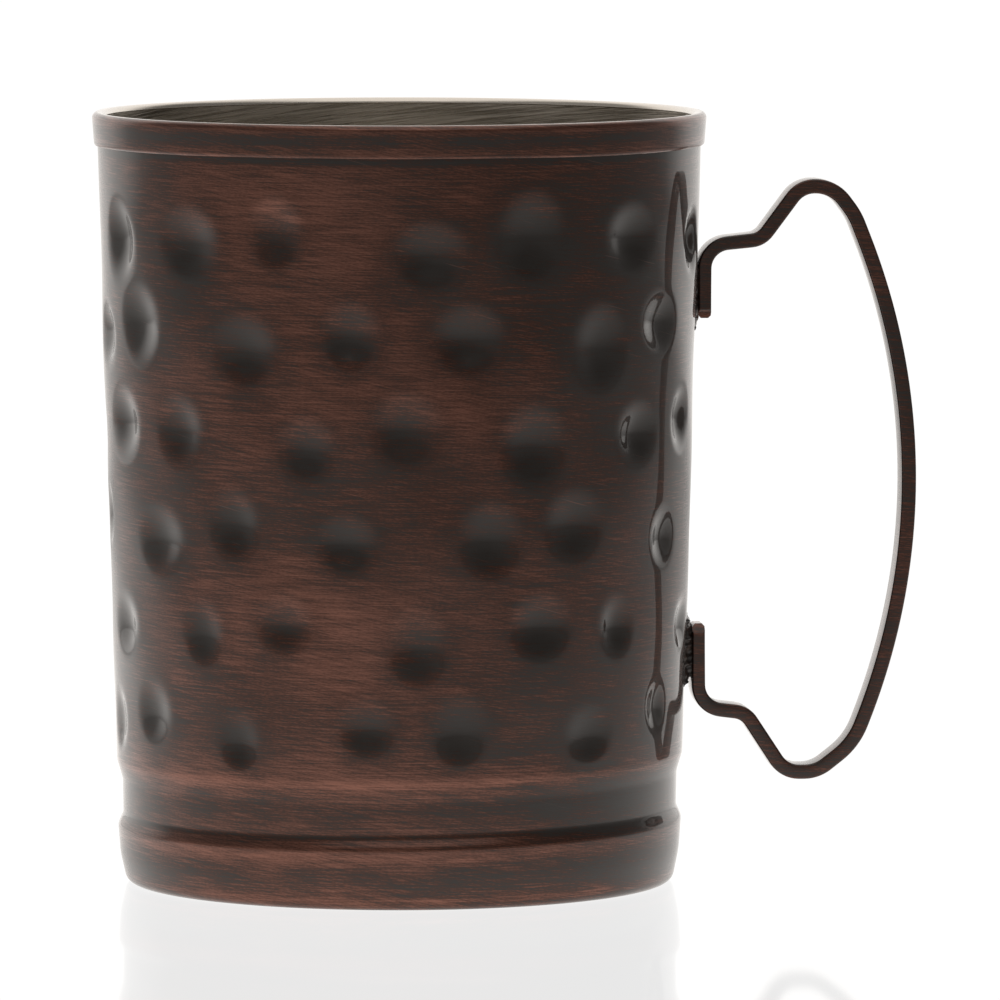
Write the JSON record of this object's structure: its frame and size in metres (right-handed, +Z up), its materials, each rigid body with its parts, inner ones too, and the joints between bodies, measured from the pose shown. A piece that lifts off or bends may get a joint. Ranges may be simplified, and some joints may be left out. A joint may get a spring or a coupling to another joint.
{
  "type": "hammered copper mug",
  "caption": "Tapered drinking mug of dark antique copper, hammered with round marks, with a hooped rim, a rolled groove above its foot, a silver lining and a bent strap handle.",
  "frame": {"origin": "centre of the mug's round foot, on the plane that it stands on", "axes": "+Z up along the mug's axis, +X out through the handle, +Y across the handle's strap"},
  "size_m": [0.113, 0.084, 0.1055],
  "materials": {
    "hammered_copper": "antique copper, darkened in the marks, brushed on the high spots, clear lacquer",
    "rim_copper": "antique copper, satin, clear lacquer",
    "handle_copper": "antique copper, darkened, clear lacquer",
    "base_copper": "antique copper, brushed",
    "silver_lining": "brushed, fine slanting scratches",
    "solder": "darkened solder, lumpy"
  },
  "bodies": {
    "root": {"body_shell": "hammered_copper", "lining": "silver_lining", "base_disc": "base_copper", "base_solder": "solder", "rim_band": "rim_copper", "handle": "handle_copper", "solder_upper": "solder", "solder_lower": "solder"}
  },
  "joints": []
}
